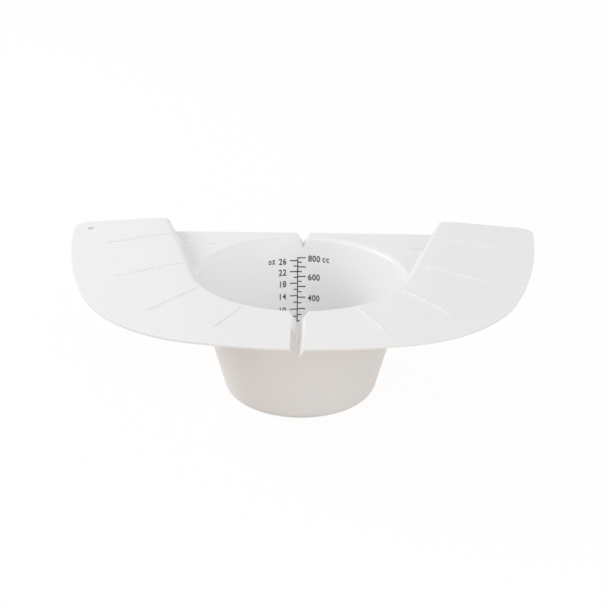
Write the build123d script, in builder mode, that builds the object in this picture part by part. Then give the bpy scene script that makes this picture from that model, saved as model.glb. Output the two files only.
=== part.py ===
# Specimen collection pan: one thin moulded sheet, a round bowl under a wide D-shaped brim.
# Millimetres. The origin is the middle of the bowl's foot, +Z is up, and -Y is the pan's curved front.
import os
from math import asin, atan2, cos, degrees, hypot, radians, sin, sqrt, tan

from build123d import *

os.makedirs("parts", exist_ok=True)

# Sheet
wall = 1.2                 # thickness of the sheet
edge_round = 0.45          # rounding of the brim's upper edge

# Bowl
foot_radius = 47.0         # flat that the bowl stands on
foot_corner = 8.0          # outside rounding between the foot and the bowl's wall
bowl_draft = 14.6          # lean of the bowl's wall from upright, in degrees
rim_round = 4.0            # top rounding where the shelf turns down into the bowl

# Levels of the sheet's top side
shelf_height = 85.4        # shelf behind the bowl, over the foot
step_height = 10.5         # from the shelf up to the brim

# Step walls beside the shelf
crest_angle = 14.9         # how far each wall turns from the pan's centre line, in degrees
step_draft = 25.0          # lean of the step walls from upright, in degrees
crest_round = 4.0          # top rounding where the brim turns down
foot_round = 1.2           # rounding in the corner between a step wall and the shelf

# Brim
brim_width = 344.0
front_reach = 133.8        # from the bowl's axis to the front edge
back_reach = 83.5          # from the bowl's axis to the back edge
back_bow = 1.5             # how far the back edge curves forward towards its corners
front_radius = 296.0       # curve of the front edge
corner_radius = 130.5      # curve of the front corners
side_radius = 418.0        # curve of the sides
widest_reach = 96.5        # middle of the sides' curve, behind the bowl's axis
rear_corner = 9.0          # rounding of the two rear corners

# Wings: the sides of the brim slope down
wing_slope = 4.4           # in degrees
bend_gap = 6.0             # flat strip between a crest and the bend of its wing
bend_radius = 130.0        # softness of the bend

# Pouring channels on the centre line, measured on the sheet's top side
channel_half = 4.6         # half the width at the lips
channel_round = 1.5        # rounding along the bottom
front_depth = 5.9          # front channel at the edge, down to where its walls would meet
throat_depth = 9.8         # front channel beside the bowl
mouth_half = 10.0          # half the width of the front channel's flare, inside the bowl
mouth_depth = 13.0
throat_gap = 8.0           # from the bowl's crest out to where the flare has ended
mouth_gap = 8.0            # from the bowl's crest in to where the flare is cut off
back_depth = 7.6           # back channel
back_inset = 14.0          # how far the back channel's form reaches into the bowl

# Ribs raised on the brim
rib_width = 2.0
rib_height = 0.8
rib_sink = 0.4             # how far the ribs' form reaches into the sheet
rib_margin = 24.0          # from the outer ends to the edge of the brim
rib_gap = 5.3              # from the crest to the inner ends
rib_round = 0.35
rib_places = (-0.5, -31.9, -61.7)    # bearings of the inner ends from the bowl's axis, in degrees from +X
rib_turns = (-21.8, -48.1, -64.1)    # bearings that the ribs point in
cross_place = 75.8         # rib over the step, measured along the crest from where it leaves the bowl
cross_inset = 30.0         # its length inside the crest

# Shallow round mark on the left wing, as deep as the ribs' form reaches
mark_inset = 14.0          # from the side of the brim
mark_back = 15.0           # from the back edge
mark_radius = 2.6

# Cutting margins, well clear of the pan
reach = 320.0
ceiling = shelf_height + step_height + 40.0
overrun = 6.0              # how far the channels' forms pass the edge

# Levels and bearings worked out from the sizes
brim_height = shelf_height + step_height
outward = (cos(radians(crest_angle)), -sin(radians(crest_angle)))      # square to the right crest
backward = (sin(radians(crest_angle)), cos(radians(crest_angle)))      # along the right crest
across = Plane(origin=(0, 0, 0), x_dir=(*outward, 0), z_dir=(-backward[0], -backward[1], 0))


def circle_point(centre, radius, bearing):
    """Point on a circle, with the bearing in degrees from +X."""
    return (centre[0] + radius * cos(radians(bearing)), centre[1] + radius * sin(radians(bearing)))


def bearing_of(start, end):
    """Bearing of one point from another, in degrees from +X."""
    return degrees(atan2(end[1] - start[1], end[0] - start[0]))


def joining_centre(first, first_away, second, second_away):
    """Centre at two given distances from two others, on the left of the way between them."""
    dx, dy = second[0] - first[0], second[1] - first[1]
    span = hypot(dx, dy)
    along = (first_away**2 - second_away**2 + span**2) / (2 * span)
    aside = sqrt(first_away**2 - along**2)
    return (first[0] + (along * dx - aside * dy) / span, first[1] + (along * dy + aside * dx) / span)


# Centres of the brim's three curves, each tangent to the next, on the right side
front_centre = (0.0, front_radius - front_reach)
side_centre = (brim_width / 2 - side_radius, widest_reach)
corner_centre = joining_centre(front_centre, front_radius - corner_radius, side_centre, side_radius - corner_radius)
front_change = bearing_of(front_centre, corner_centre)
side_change = bearing_of(side_centre, corner_centre)
rear_change = degrees(asin((back_reach - back_bow - widest_reach) / side_radius))


def bowl_corner(lift):
    """Radius and height where the bowl's wall leaves its bottom rounding."""
    radius = foot_corner - lift
    lean = radians(bowl_draft)
    return foot_radius + radius * cos(lean), lift + radius - radius * sin(lean)


def bowl_radius(height, lift):
    """Radius of the bowl's straight wall at a height."""
    corner, corner_height = bowl_corner(lift)
    return corner + (height - corner_height) * tan(radians(bowl_draft))


def rounding(place, level, lean, radius):
    """Two ends of the rounding between a leaning wall and the level above it, which would meet at place."""
    tangent = radius * tan(radians(90 - lean) / 2)
    low = (place - tangent * sin(radians(lean)), level - tangent * cos(radians(lean)))
    return low, (place + tangent, level)


def channel_form(stations, lift):
    """Lofted V-shaped groove along Y. Each station gives its place, half width, depth and level."""
    spread = wall - lift
    with BuildPart() as groove:
        for place, half, depth, level in stations:
            lean = atan2(half, depth)
            bottom = level - depth - spread / sin(lean)
            top_half = (ceiling - bottom) * tan(lean)
            with BuildSketch(Plane.XZ.offset(-place)) as section:
                with BuildLine():
                    Polyline((0, bottom), (top_half, ceiling), (-top_half, ceiling), close=True)
                make_face()
                fillet(section.vertices().sort_by(Axis.Z)[0], channel_round + spread)
        loft(ruled=True)
    return groove.part


def space_above(lift):
    """Everything above the sheet's underside, when lift is 0, or above a surface that lies lift over it."""
    shelf = shelf_height - wall + lift
    brim = brim_height - wall + lift
    crest = crest_round - wall + lift
    rim = rim_round - wall + lift
    foot = foot_round + wall - lift
    bend = bend_radius - wall + lift

    # Bowl, with the rounding up to the brim
    corner = bowl_corner(lift)
    crest_low, crest_high = rounding(bowl_radius(brim, lift), brim, bowl_draft, crest)
    with BuildPart() as bowl:
        with BuildSketch(Plane.XZ):
            with BuildLine():
                Line((0, ceiling), (0, lift))
                Line((0, lift), (foot_radius, lift))
                RadiusArc((foot_radius, lift), corner, lift - foot_corner)
                Line(corner, crest_low)
                RadiusArc(crest_low, crest_high, crest)
                Line(crest_high, (crest_high[0], ceiling))
                Line((crest_high[0], ceiling), (0, ceiling))
            make_face()
        revolve(axis=Axis.Z)

    # Section across the right wing, square to its crest
    step = bowl_radius(brim_height - wall, 0) - lift / cos(radians(step_draft)) + lift * tan(radians(step_draft))
    step_low, step_high = rounding(step, brim, step_draft, crest)
    step_foot = step - step_height * tan(radians(step_draft))
    foot_tangent = foot * tan(radians(90 - step_draft) / 2)
    foot_low = (step_foot - foot_tangent, shelf)
    foot_high = (step_foot + foot_tangent * sin(radians(step_draft)), shelf + foot_tangent * cos(radians(step_draft)))
    bend_start = (bowl_radius(brim_height - wall, 0) + bend_gap, brim)
    bend_end = (bend_start[0] + bend * sin(radians(wing_slope)), brim - bend * (1 - cos(radians(wing_slope))))
    wing_end = (reach, bend_end[1] - (reach - bend_end[0]) * tan(radians(wing_slope)))
    with BuildPart() as brim_form:
        with BuildSketch(across):
            with BuildLine():
                Line((-reach, shelf), foot_low)
                RadiusArc(foot_low, foot_high, -foot)
                Line(foot_high, step_low)
                RadiusArc(step_low, step_high, crest)
                Line(step_high, bend_start)
                RadiusArc(bend_start, bend_end, bend)
                Line(bend_end, wing_end)
                Polyline(wing_end, (reach, ceiling), (-reach, ceiling), (-reach, shelf))
            make_face()
        extrude(amount=-reach)
        with BuildSketch(across):
            with BuildLine():
                Line((-reach, brim), bend_start)
                RadiusArc(bend_start, bend_end, bend)
                Line(bend_end, wing_end)
                Polyline(wing_end, (reach, ceiling), (-reach, ceiling), (-reach, brim))
            make_face()
        extrude(amount=reach)
        split(bisect_by=Plane.YZ, keep=Keep.TOP)
        mirror(about=Plane.YZ)

    # Rounding from the shelf down into the bowl, which ends where the step walls begin
    rim_low, rim_high = rounding(bowl_radius(shelf, lift), shelf, bowl_draft, rim)
    rim_inside = foot_radius / 2
    with BuildPart() as rim_form:
        with BuildSketch(Plane.XZ):
            with BuildLine():
                RadiusArc(rim_low, rim_high, rim)
                Polyline(rim_high, (rim_inside, shelf), (rim_inside, rim_low[1]), rim_low)
            make_face()
        revolve(axis=Axis.Z)
        with BuildSketch(across):
            with BuildLine():
                below = (foot_low[0] - step_height * tan(radians(step_draft)), shelf - step_height)
                Polyline((-reach, shelf), foot_low, below, (-reach, below[1]), close=True)
            make_face()
        extrude(amount=-reach, mode=Mode.INTERSECT)
        split(bisect_by=Plane.YZ, keep=Keep.TOP)
        mirror(about=Plane.YZ)

    # Pouring channels
    crest_place = bowl_radius(brim_height, wall)
    front_stations = (
        (-crest_place + mouth_gap, mouth_half, mouth_depth, brim_height),
        (-crest_place - throat_gap, channel_half, throat_depth, brim_height),
        (-front_reach - overrun, channel_half, front_depth, brim_height),
    )
    back_stations = (
        (bowl_radius(shelf_height, wall) - back_inset, channel_half, back_depth, shelf_height),
        (back_reach + overrun, channel_half, back_depth, shelf_height),
    )
    with BuildPart() as space:
        add(brim_form.part)
        add(bowl.part)
        add(rim_form.part)
        add(channel_form(front_stations, lift))
        add(channel_form(back_stations, lift))
    return space.part


def ray_to_circle(start, bearing, centre, radius):
    """Distance from a point, along a bearing, to the far side of a circle around it."""
    dx, dy = start[0] - centre[0], start[1] - centre[1]
    along = dx * cos(radians(bearing)) + dy * sin(radians(bearing))
    return sqrt(along**2 - dx**2 - dy**2 + radius**2) - along


def rib_lines():
    """Start, bearing and length of each rib on the right side."""
    crest = bowl_radius(brim_height, wall)
    lines = []
    for place, turn in zip(rib_places, rib_turns):
        start = circle_point((0, 0), crest + rib_gap, place)
        lines.append((start, turn, ray_to_circle(start, turn, corner_centre, corner_radius - rib_margin)))
    start = (
        outward[0] * (crest - cross_inset) + backward[0] * cross_place,
        outward[1] * (crest - cross_inset) + backward[1] * cross_place,
    )
    lines.append((start, -crest_angle, ray_to_circle(start, -crest_angle, side_centre, side_radius - rib_margin)))
    return lines


under_space = space_above(0)
sunk_space = space_above(wall - rib_sink)
upper_space = space_above(wall)
rib_space = space_above(wall + rib_height)

# Ribs: bars with round ends, as high over the sheet as the space that is cut from them
with BuildPart() as ribs:
    with BuildSketch(Plane.XY.offset(shelf_height - step_height)):
        for start, bearing, length in rib_lines():
            with Locations(circle_point(start, length / 2, bearing)):
                SlotOverall(length, rib_width, rotation=bearing)
        mirror(about=Plane.YZ)
    extrude(amount=ceiling - shelf_height)
    add(sunk_space, mode=Mode.INTERSECT)
    add(rib_space, mode=Mode.SUBTRACT)

# Round mark
with BuildPart() as mark:
    with BuildSketch(Plane.XY.offset(shelf_height - step_height)):
        with Locations((mark_inset - brim_width / 2, back_reach - mark_back)):
            Circle(mark_radius)
    extrude(amount=2 * step_height)
    add(sunk_space, mode=Mode.INTERSECT)

# The pan: what lies between the two sides of the sheet, inside the brim's outline
with BuildPart() as pan:
    with BuildSketch() as outline:
        with BuildLine():
            side = CenterArc(side_centre, side_radius, rear_change, side_change - rear_change)
            corner = CenterArc(corner_centre, corner_radius, side_change, front_change - side_change)
            mirror(side, about=Plane.YZ)
            mirror(corner, about=Plane.YZ)
            CenterArc(front_centre, front_radius, front_change, -2 * (90 + front_change))
            rear = side @ 0
            ThreePointArc(rear, (0, back_reach), (-rear.X, rear.Y))
        make_face()
        fillet(outline.vertices().group_by(Axis.Y)[-1], rear_corner)
    extrude(amount=ceiling - 1)
    add(under_space, mode=Mode.INTERSECT)
    add(upper_space, mode=Mode.SUBTRACT)
    add(ribs.part)
    add(mark.part, mode=Mode.SUBTRACT)

pan.part.label = "pan"
export_step(pan.part, "parts/pan.step")
print("pan:", len(pan.solids()), "solid,", round(pan.part.volume / 1000, 1), "cm3")
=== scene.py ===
import bpy
import numpy as np
from mathutils import Matrix, Vector


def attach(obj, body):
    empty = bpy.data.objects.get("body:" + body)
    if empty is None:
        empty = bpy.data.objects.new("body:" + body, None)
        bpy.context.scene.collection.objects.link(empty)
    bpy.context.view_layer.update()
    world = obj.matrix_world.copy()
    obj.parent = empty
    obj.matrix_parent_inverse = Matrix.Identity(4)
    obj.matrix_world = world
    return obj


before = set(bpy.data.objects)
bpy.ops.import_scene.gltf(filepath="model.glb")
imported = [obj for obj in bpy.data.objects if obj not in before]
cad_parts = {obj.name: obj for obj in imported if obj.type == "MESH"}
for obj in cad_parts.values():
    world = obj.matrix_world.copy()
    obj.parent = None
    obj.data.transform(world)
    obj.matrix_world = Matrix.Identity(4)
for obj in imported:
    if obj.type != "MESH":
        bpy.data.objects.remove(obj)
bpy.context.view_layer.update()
print("frame loaded")

mm = 0.001
noiseMean = 0.5                # middle of a noise texture's values


class Sock:
    # wraps a shader socket, so that node maths reads as a Python expression
    def __init__(self, tree, out):
        self.tree, self.out = tree, out

    def math(self, operation, *others):
        node = self.tree.nodes.new("ShaderNodeMath")
        node.operation = operation
        for place, value in enumerate((self, *others)):
            put(self.tree, node.inputs[place], value)
        return Sock(self.tree, node.outputs[0])

    def flipped(self, operation, first):
        node = self.tree.nodes.new("ShaderNodeMath")
        node.operation = operation
        put(self.tree, node.inputs[0], first)
        put(self.tree, node.inputs[1], self)
        return Sock(self.tree, node.outputs[0])

    def __add__(self, b): return self.math("ADD", b)
    def __radd__(self, b): return self.math("ADD", b)
    def __sub__(self, b): return self.math("SUBTRACT", b)
    def __rsub__(self, b): return self.flipped("SUBTRACT", b)
    def __mul__(self, b): return self.math("MULTIPLY", b)
    def __truediv__(self, b): return self.math("DIVIDE", b)


def put(tree, socket, value):
    # links a wrapped socket, or sets a plain value
    if isinstance(value, Sock):
        tree.links.new(value.out, socket)
    else:
        socket.default_value = value


def limited(value):
    return value.math("MAXIMUM", 0.0).math("MINIMUM", 1.0)


class Nodes:
    # a node tree, emptied, with one way to make any node; inputs are given by name or by number
    def __init__(self, owner):
        owner.use_nodes = True
        self.owner, self.tree = owner, owner.node_tree
        self.tree.nodes.clear()

    def make(self, kind, settings=None, out=0, numbered=None, **named):
        node = self.tree.nodes.new("ShaderNode" + kind)
        for key, value in (settings or {}).items():
            setattr(node, key, value)
        inputs = dict(numbered or {})
        inputs.update({key.replace("_", " "): value for key, value in named.items()})
        for key, value in inputs.items():
            put(self.tree, node.inputs[key], value)
        return Sock(self.tree, node.outputs[out]) if node.outputs else None

    def mixed(self, share, first, second):
        # the colour mix names its sockets alike for each kind of value, so they go by number
        return self.make("Mix", {"data_type": "RGBA"}, out=2, numbered={0: share, 6: first, 7: second})

    def seen(self):
        # 1 for what the camera sees directly, in a reflection or through a clear piece, and 0 for other rays
        direct = self.make("LightPath", out="Is Camera Ray")
        mirrored = self.make("LightPath", out="Is Glossy Ray")
        through = self.make("LightPath", out="Is Transmission Ray")
        return limited(direct + mirrored + through)


def newMaterial(name):
    return Nodes(bpy.data.materials.new(name))


sheetLook = {
    "colour": (0.945, 0.942, 0.938, 1.0),
    # the colour below, with the spot's place, size and strength, paints a soft darker oval on the left
    # wing's back: painted shade over the small moulded mark there
    "spotShadeColour": (0.7, 0.69, 0.68, 1.0),
    "roughness": 0.36,
    "grainScale": 900.0, "grainDetail": 3.0, "grainRough": 0.06,
    "cloudScale": 30.0, "cloudDetail": 2.0, "cloudRough": 0.08,
    "bumpStrength": 0.06, "bumpDepth": 0.2 * mm,
    "scatter": 0.35,           # share of light that goes into the plastic
    "scatterReach": 1.4 * mm,
    "scatterTint": (1.0, 0.86, 0.74),
    "spotShadePlace": (-158.6 * mm, 69.6 * mm, 0.0),
    "spotShadeRadius": 3.0 * mm,
    "spotShadeEdge": 1.2 * mm,
    "spotShadeLeast": 0.6, "spotShadeCloud": 0.5,         # the mark's strength, and what the cloudy noise adds
    "weld": 0.002 * mm,        # corners nearer to each other than this become one
    "hardEdge": 28,            # in degrees
}


def sheetMaterial():
    n, look = newMaterial("moulded sheet"), sheetLook
    place = n.make("TexCoord", out="Object")
    grain = n.make("TexNoise", Vector=place, Scale=look["grainScale"], Detail=look["grainDetail"])
    cloud = n.make("TexNoise", Vector=place, Scale=look["cloudScale"], Detail=look["cloudDetail"])
    rough = look["roughness"] + (cloud - noiseMean) * look["cloudRough"]
    rough = rough + (grain - noiseMean) * look["grainRough"]
    bump = n.make("Bump", Strength=look["bumpStrength"], Distance=look["bumpDepth"], Height=grain)
    flat = n.make("VectorMath", {"operation": "MULTIPLY"}, numbered={0: place, 1: (1.0, 1.0, 0.0)})
    away = n.make("VectorMath", {"operation": "DISTANCE"}, out="Value",
                  numbered={0: flat, 1: look["spotShadePlace"]})
    # painted shade: a soft darker oval over the small moulded mark on the left wing, mixed into the sheet's
    # colour
    inside = limited((look["spotShadeRadius"] - away) / look["spotShadeEdge"])
    spotShade = inside * (look["spotShadeLeast"] + cloud * look["spotShadeCloud"])
    tint = n.mixed(spotShade, look["colour"], look["spotShadeColour"])
    shader = n.make("BsdfPrincipled", Base_Color=tint, Roughness=rough, Normal=bump,
                    Subsurface_Weight=look["scatter"], Subsurface_Radius=look["scatterTint"],
                    Subsurface_Scale=look["scatterReach"])
    n.make("OutputMaterial", Surface=shader)
    return n.owner


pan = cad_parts["pan"]
pan.data.materials.clear()
pan.data.materials.append(sheetMaterial())
pan.data.polygons.foreach_set("use_smooth", np.ones(len(pan.data.polygons), bool))
weld = pan.modifiers.new("weld", "WELD")
weld.merge_threshold = sheetLook["weld"]
split = pan.modifiers.new("split", "EDGE_SPLIT")
split.split_angle = np.radians(sheetLook["hardEdge"])
even = pan.modifiers.new("even", "WEIGHTED_NORMAL")
even.keep_sharp = True
print("sheet dressed")


scale = {
    "footRadius": 47.0,        # the bowl's inside, in millimetres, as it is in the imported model
    "corner": 8.0,
    "draft": 14.6,
    "wall": 1.2,
    "shelf": 85.4,
    "lift": 0.14,              # print over the plastic
    "rise": 1.4,               # print over the height that its volume asks
    "middle": -3.9,            # the upright line, left of the pan's centre line
    "lineWidth": 0.75,
    "tickWidth": 0.75,
    "ccMarks": np.arange(150, 801, 50),
    "ozMarks": np.arange(6, 27, 2),
    "ccNumbers": (800, 600, 400, 200),
    "ozNumbers": (26, 22, 18, 14, 10),
    "ccLongEvery": 100, "ozLongEvery": 4,
    "ozVolume": 29.57,         # cc in an ounce
    "ccVolume": 1000,          # cubic millimetres in a cc
    "slices": 2000,            # levels at which the bowl's area is summed
    "ccLong": 6.1, "ccShort": 3.1,
    "ozLong": 5.9, "ozShort": 3.0,
    "digitHeight": 4.6, "digitPitch": 3.1,
    "digitFill": 0.86,         # share of its slot that a digit fills
    "slimmest": 0.45,          # a digit narrower than this isn't stretched to fill its slot
    "unitPitch": 0.92, "ccRise": 0.2, "ozRise": 0.8,
    "boldness": 0.016,
    "curveSteps": 4,
    "capital": 0.729,          # height of a digit in the font's own units
    "drop": 0.25,              # middle of a number below its mark
    "ccColumn": 7.7, "ccUnit": 18.4,
    "ozColumn": -14.6, "ozUnit": -22.7,
    "ink": (0.012, 0.012, 0.013, 1.0),
    "thinInk": (0.12, 0.12, 0.12, 1.0),
    "inkRoughness": 0.45,
    "patchScale": 700.0, "patchDetail": 2.0, "patchShare": 0.4,
    "fadeFoot": 0.012, "fadeReach": 0.045,      # heights between which the ink gets full
}


def wallRadius(z):
    # inside radius at height z: the corner's circle up to where the wall starts, then a cone
    lean = np.radians(scale["draft"])
    radius = scale["corner"] - scale["wall"]
    start = scale["wall"] + radius * (1 - np.sin(lean))
    low = np.clip(z, scale["wall"], start)
    corner = scale["footRadius"] + np.sqrt(radius ** 2 - (scale["wall"] + radius - low) ** 2)
    return corner + np.clip(z - start, 0, None) * np.tan(lean)


def markHeights(volumes):
    # height at which the bowl holds each volume in cc, from the sum of pi r^2 over its height, plus the rise
    z = np.linspace(scale["wall"], scale["shelf"], scale["slices"])
    area = np.pi * wallRadius(z) ** 2 / scale["ccVolume"]
    held = np.concatenate([[0], np.cumsum((area[1:] + area[:-1]) / 2 * np.diff(z))])
    return np.interp(volumes, held, z) + scale["rise"]


def onWall(across, up):
    # wraps flat print, millimetres across and up, round the back of the bowl's inside
    radius = wallRadius(up) - scale["lift"]
    turn = (across + scale["middle"]) / wallRadius(up)
    return np.stack([radius * np.sin(turn), radius * np.cos(turn), up], -1) * mm


def addPiece(name, points, faces, material):
    mesh = bpy.data.meshes.new(name)
    mesh.from_pydata(points.reshape(-1, 3).tolist(), [], faces)
    mesh.materials.append(material)
    piece = bpy.data.objects.new(name, mesh)
    bpy.context.scene.collection.objects.link(piece)
    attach(piece, "root")


def strips(rects, across=6, up=24):
    # each row of rects is left, right, bottom, top; a strip is a grid of two parameters between them
    s, t = np.meshgrid(np.linspace(0, 1, across + 1), np.linspace(0, 1, up + 1))
    left, right, bottom, top = rects.T[:, :, None, None]
    points = onWall(left + (right - left) * s, bottom + (top - bottom) * t)
    cell = (np.arange(up)[:, None] * (across + 1) + np.arange(across)).ravel()
    quad = np.stack([cell, cell + 1, cell + across + 2, cell + across + 1], -1)
    step = (across + 1) * (up + 1)
    faces = (quad[None] + np.arange(len(rects))[:, None, None] * step).reshape(-1, 4)
    return points, faces.tolist()


def ticks(volumes, long, short, isLong, side):
    z = markHeights(volumes)
    reach = np.where(isLong, long, short) * side
    half = scale["tickWidth"] / 2
    return np.stack([np.minimum(0, reach), np.maximum(0, reach), z - half, z + half], -1)


def inkMaterial():
    n = newMaterial("printed ink")
    place = n.make("TexCoord", out="Object")
    height = n.make("SeparateXYZ", Vector=place, out="Z")
    patchy = n.make("TexNoise", Vector=place, Scale=scale["patchScale"], Detail=scale["patchDetail"])
    full = (height - scale["fadeFoot"]) / scale["fadeReach"]
    thin = 1.0 - full + (patchy - noiseMean) * scale["patchShare"]
    colour = n.mixed(limited(thin), scale["ink"], scale["thinInk"])
    shader = n.make("BsdfPrincipled", Base_Color=colour, Roughness=scale["inkRoughness"])
    n.make("OutputMaterial", Surface=shader)
    return n.owner


def printed(words, left, middle, pitch):
    # letters from the built-in font, each set in its own slot, so that their pitch is even
    points, faces, count = [], [], 0
    for place, letter in enumerate(words):
        curve = bpy.data.curves.new("letter", "FONT")
        curve.body = letter
        curve.resolution_u = scale["curveSteps"]
        curve.offset = scale["boldness"]
        flat = bpy.data.objects.new("letter", curve)
        mesh = bpy.data.meshes.new_from_object(flat)
        co = np.zeros(len(mesh.vertices) * 3)
        mesh.vertices.foreach_get("co", co)
        co = co.reshape(-1, 3)
        slim = pitch * scale["digitFill"] / max(np.ptp(co[:, 0]), scale["slimmest"])
        x = left + (place + 0.5) * pitch + (co[:, 0] - (co[:, 0].max() + co[:, 0].min()) / 2) * slim
        z = middle + (co[:, 1] / scale["capital"] - 0.5) * scale["digitHeight"]
        points.append(np.stack([x, z], -1))
        faces += [[v + count for v in p.vertices] for p in mesh.polygons]
        count += len(co)
        bpy.data.objects.remove(flat)
    flat = np.concatenate(points)
    return onWall(flat[:, 0], flat[:, 1]), faces


def numbers():
    # rows of text, left end, height and pitch, joined into one mesh
    pitch, drop = scale["digitPitch"], scale["drop"]
    unitPitch = pitch * scale["unitPitch"]
    top = markHeights(scale["ccNumbers"][0]) - drop
    topOz = markHeights(scale["ozNumbers"][0] * scale["ozVolume"]) - drop
    labels = [
        ("cc", scale["ccUnit"], top + scale["ccRise"], unitPitch),
        ("oz", scale["ozUnit"], topOz + scale["ozRise"], unitPitch),
    ]
    for volume in scale["ccNumbers"]:
        labels.append((str(volume), scale["ccColumn"], markHeights(volume) - drop, pitch))
    for ounces in scale["ozNumbers"]:
        height = markHeights(ounces * scale["ozVolume"]) - drop
        labels.append((str(ounces), scale["ozColumn"], height, pitch))
    points, faces, count = [], [], 0
    for label in labels:
        wordPoints, wordFaces = printed(*label)
        points.append(wordPoints)
        faces += [[v + count for v in face] for face in wordFaces]
        count += len(wordPoints)
    return np.concatenate(points), faces


ink = inkMaterial()
cc, oz = scale["ccMarks"], scale["ozMarks"]
half, halfTick = scale["lineWidth"] / 2, scale["tickWidth"] / 2
ends = markHeights(cc[[0, -1]])
longCc = cc % scale["ccLongEvery"] == 0
longOz = (oz - scale["ozNumbers"][0]) % scale["ozLongEvery"] == 0
rects = np.concatenate([
    ticks(cc, scale["ccLong"], scale["ccShort"], longCc, 1),
    ticks(oz * scale["ozVolume"], scale["ozLong"], scale["ozShort"], longOz, -1),
    [[-half, half, ends[0] - halfTick, ends[1] + halfTick]],
])
addPiece("scale_lines", *strips(rects), ink)
addPiece("scale_numbers", *numbers(), ink)
print("scale printed")


studio = {
    "worldStrength": 0.59,
    "aim": (0.0, 0.0, 0.06),
    "keyPlace": (-1.45, 0.35, 0.85), "keySize": 0.7, "keyPower": 11.0,
    "fillPlace": (0.75, -1.3, 0.72), "fillSize": 1.0, "fillPower": 6.8,
    "floorSize": 6.0,
    "floorColour": (0.72, 0.65, 0.595, 1.0),
    "floorShown": 0.9,         # share of plain white in the floor that the camera sees
    "floorWhite": 1.046,
}


def makeFloor():
    # a square of the given size at z = 0
    half = studio["floorSize"] / 2
    corners = [(-half, -half, 0), (half, -half, 0), (half, half, 0), (-half, half, 0)]
    mesh = bpy.data.meshes.new("floor")
    mesh.from_pydata(corners, [], [(0, 1, 2, 3)])
    floor = bpy.data.objects.new("floor", mesh)
    bpy.context.scene.collection.objects.link(floor)
    n = newMaterial("white floor")
    lit = n.make("BsdfDiffuse", Color=studio["floorColour"])
    white = n.make("Emission", Color=(1, 1, 1, 1), Strength=studio["floorWhite"])
    mixed = n.make("MixShader", numbered={0: n.seen() * studio["floorShown"], 1: lit, 2: white})
    n.make("OutputMaterial", Surface=mixed)
    mesh.materials.append(n.owner)


def makeWorld():
    world = bpy.data.worlds.new("studio")
    bpy.context.scene.world = world
    n = Nodes(world)
    strength = studio["worldStrength"] + n.seen() * (1.0 - studio["worldStrength"])
    n.make("OutputWorld", Surface=n.make("Background", Color=(1, 1, 1, 1), Strength=strength))


def makeLight(name):
    # a square light that faces the pan
    data = bpy.data.lights.new(name, "AREA")
    data.size = studio[name + "Size"]
    data.energy = studio[name + "Power"]
    light = bpy.data.objects.new(name, data)
    bpy.context.scene.collection.objects.link(light)
    place = Vector(studio[name + "Place"])
    turn = (place - Vector(studio["aim"])).to_track_quat("Z", "Y").to_matrix().to_4x4()
    light.matrix_world = Matrix.Translation(place) @ turn


makeFloor()
makeWorld()
makeLight("key")
makeLight("fill")
bpy.context.scene.view_settings.view_transform = "Standard"
print("studio lit")


view = {
    "aim": (0.0, 0.0, 0.0446),
    "distance": 1.0,
    "elevation": 25.8,
    "azimuth": 1.1,
    "roll": 0.41,
    "sensor": 36.0,
    "focalPixels": 1398.6,
    "frame": 608,
    "aimPixel": (300.7, 329.4),
    "nearest": 0.01, "farthest": 50.0,
}


def makeCamera():
    # stands at a distance from its aim, back along a direction set by elevation and azimuth
    data = bpy.data.cameras.new("camera")
    data.sensor_width = view["sensor"]
    data.lens = view["sensor"] * view["focalPixels"] / view["frame"]
    data.shift_x = (view["frame"] / 2 - view["aimPixel"][0]) / view["frame"]
    data.shift_y = (view["aimPixel"][1] - view["frame"] / 2) / view["frame"]
    data.clip_start, data.clip_end = view["nearest"], view["farthest"]
    camera = bpy.data.objects.new("camera", data)
    bpy.context.scene.collection.objects.link(camera)
    up, turned = np.radians(view["elevation"]), np.radians(view["azimuth"])
    back = Vector((np.sin(turned) * np.cos(up), -np.cos(turned) * np.cos(up), np.sin(up)))
    roll = Matrix.Rotation(np.radians(view["roll"]), 4, "Z")
    turn = back.to_track_quat("Z", "Y").to_matrix().to_4x4() @ roll
    camera.matrix_world = Matrix.Translation(Vector(view["aim"]) + back * view["distance"]) @ turn
    bpy.context.scene.camera = camera


makeCamera()
print("camera set")
